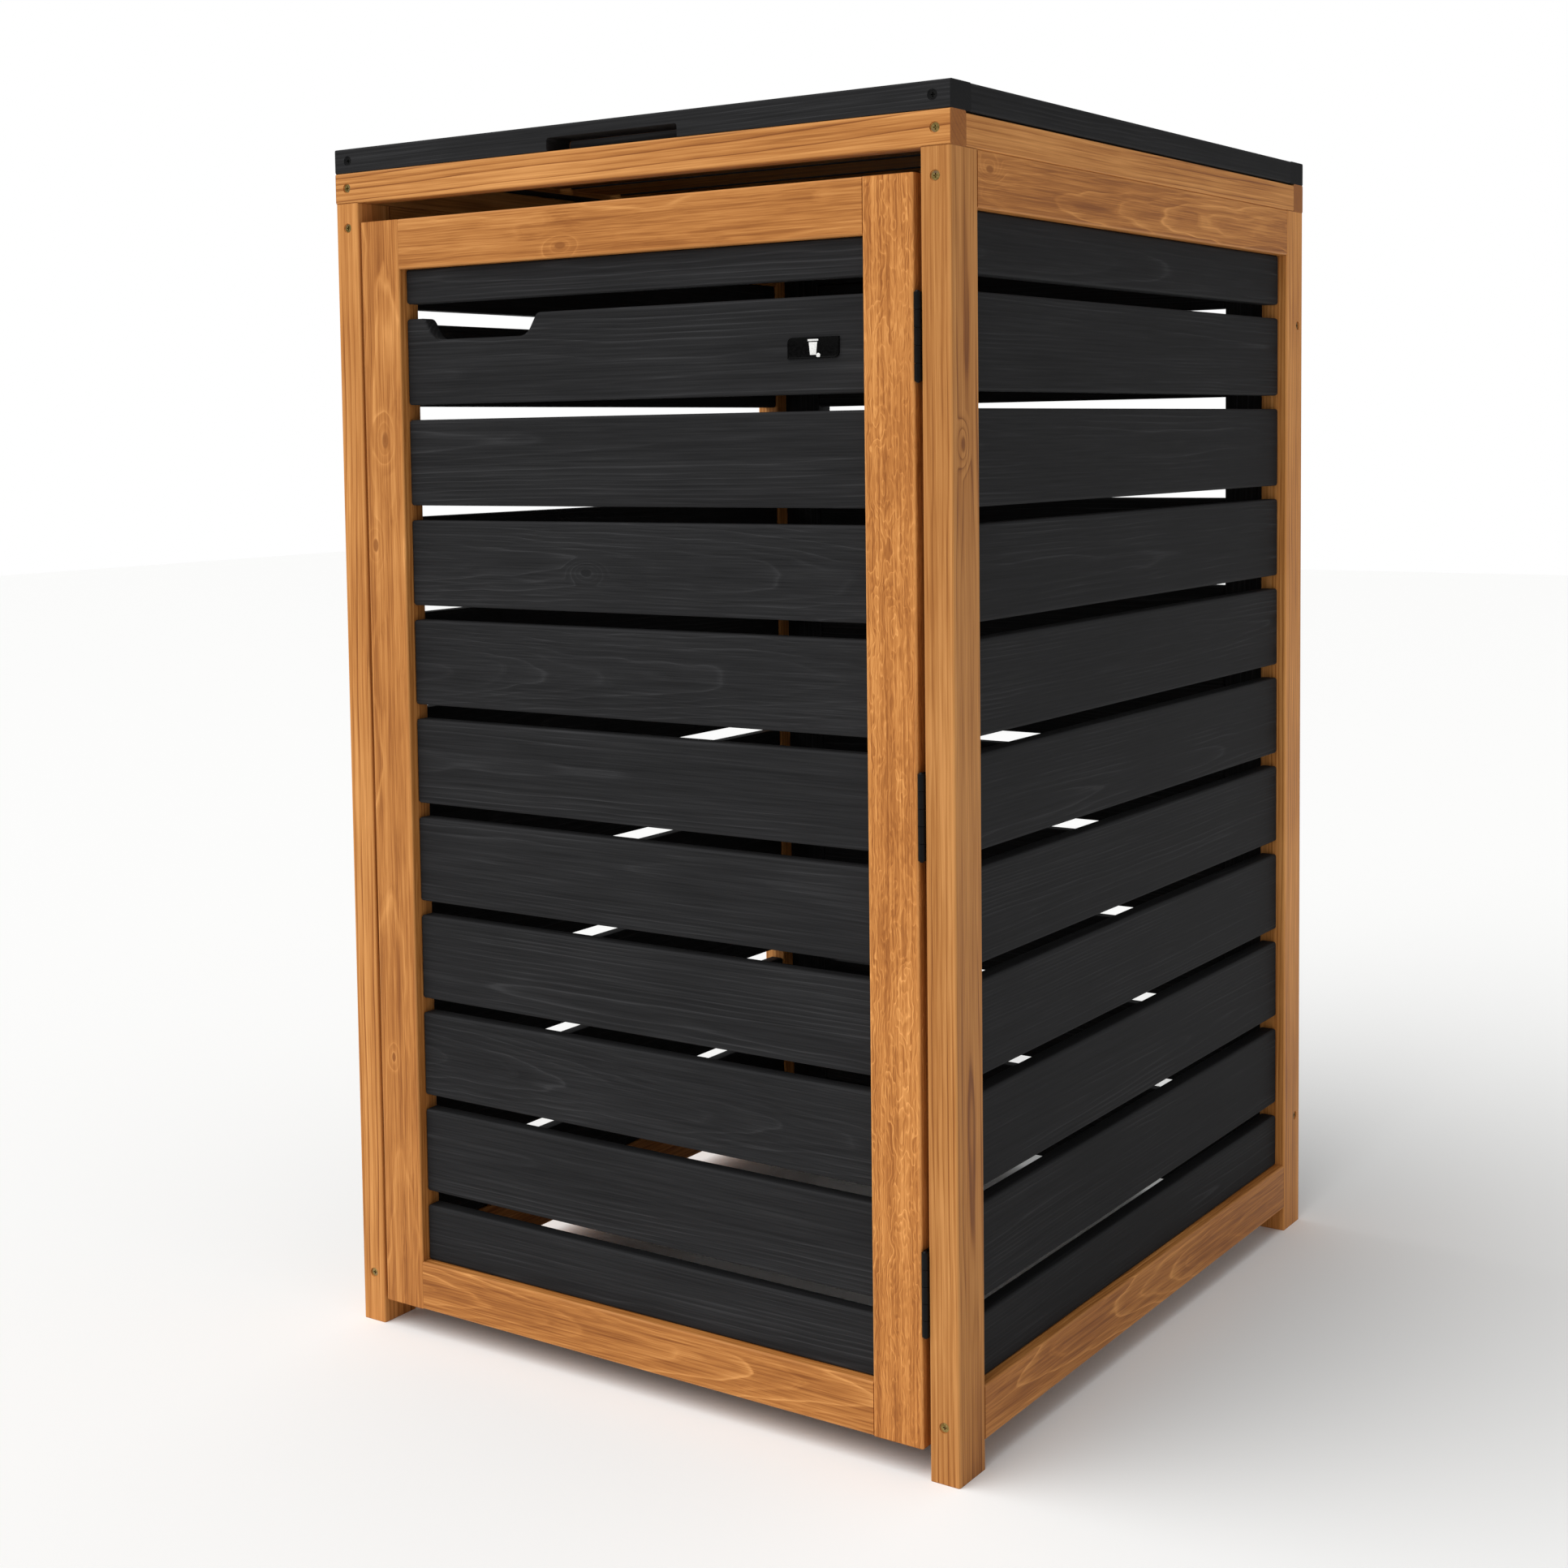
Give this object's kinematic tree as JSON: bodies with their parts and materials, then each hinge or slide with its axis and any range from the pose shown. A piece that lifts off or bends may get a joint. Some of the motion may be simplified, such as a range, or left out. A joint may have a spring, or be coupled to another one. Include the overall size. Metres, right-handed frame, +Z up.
{
  "type": "wheeled bin store",
  "caption": "Upright timber cupboard that hides a wheeled household bin, with horizontal slats, a hinged slatted door with a hand notch and a hinged lid with a finger notch.",
  "frame": {"origin": "middle of the footprint on the ground, hinge barrels included", "axes": "+X to the right seen from the door, +Y from the door towards the back, +Z up"},
  "size_m": [0.7, 0.8178, 1.202],
  "materials": {
    "brown_stained_wood": "honey-brown stained softwood, satin, visible grain",
    "black_stained_wood": "black stained softwood, low sheen, faint grain",
    "black_coated_steel": "black coated steel, satin",
    "yellow_zinc_steel": "yellow passivated zinc on steel",
    "bright_zinc_steel": "bright zinc on steel",
    "black_plastic": "moulded black plastic",
    "name_plate_plastic": "plain black plate, glossy, no mark"
  },
  "bodies": {
    "cabinet": {"post_front_left": "brown_stained_wood", "post_front_right": "brown_stained_wood", "post_back_left": "brown_stained_wood", "post_back_right": "brown_stained_wood", "top_frame_front": "brown_stained_wood", "top_frame_back": "brown_stained_wood", "top_frame_left": "brown_stained_wood", "top_frame_right": "brown_stained_wood", "left_bottom_rail": "brown_stained_wood", "left_top_rail": "brown_stained_wood", "left_slats": "black_stained_wood", "right_bottom_rail": "brown_stained_wood", "right_top_rail": "brown_stained_wood", "right_slats": "black_stained_wood", "back_left_stile": "black_stained_wood", "back_right_stile": "black_stained_wood", "back_bottom_rail": "black_stained_wood", "back_top_rail": "black_stained_wood", "back_slats": "black_stained_wood", "catch_housing": "black_plastic", "lower_hinge_post_leaf": "black_coated_steel", "middle_hinge_post_leaf": "black_coated_steel", "upper_hinge_post_leaf": "black_coated_steel", "door_hinge_pins": "black_coated_steel", "lid_hinge_pins": "black_coated_steel", "lid_hinge_left_frame_leaf": "black_coated_steel", "lid_hinge_right_frame_leaf": "black_coated_steel", "frame_screws": "yellow_zinc_steel", "fixed_hinge_screws": "black_coated_steel"},
    "door": {"door_left_stile": "brown_stained_wood", "door_right_stile": "brown_stained_wood", "door_bottom_rail": "brown_stained_wood", "door_top_rail": "brown_stained_wood", "door_slat_1": "black_stained_wood", "door_slat_2": "black_stained_wood", "door_slat_3": "black_stained_wood", "door_slat_4": "black_stained_wood", "door_slat_5": "black_stained_wood", "door_slat_6": "black_stained_wood", "door_slat_7": "black_stained_wood", "door_slat_8": "black_stained_wood", "door_slat_9": "black_stained_wood", "door_slat_10": "black_stained_wood", "door_slat_11": "black_stained_wood", "name_plate": "name_plate_plastic", "strike_plate": "bright_zinc_steel", "lower_hinge_door_leaf": "black_coated_steel", "middle_hinge_door_leaf": "black_coated_steel", "upper_hinge_door_leaf": "black_coated_steel", "door_hinge_screws": "black_coated_steel"},
    "lid": {"lid_front_rail": "black_stained_wood", "lid_back_rail": "black_stained_wood", "lid_left_rail": "black_stained_wood", "lid_right_rail": "black_stained_wood", "lid_boards": "black_stained_wood", "lid_hinge_left_lid_leaf": "black_coated_steel", "lid_hinge_right_lid_leaf": "black_coated_steel", "lid_screws": "black_coated_steel"}
  },
  "joints": [
    {"name": "door_hinge", "type": "hinge", "parent": "cabinet", "child": "door", "pos_m": [0.3175, -0.40575, 0.5815], "axis": [0, 0, 1], "range_deg": [0, 170]},
    {"name": "lid_hinge", "type": "hinge", "parent": "cabinet", "child": "lid", "pos_m": [0, 0.40575, 1.176], "axis": [-1, 0, 0], "range_deg": [0, 180]}
  ]
}
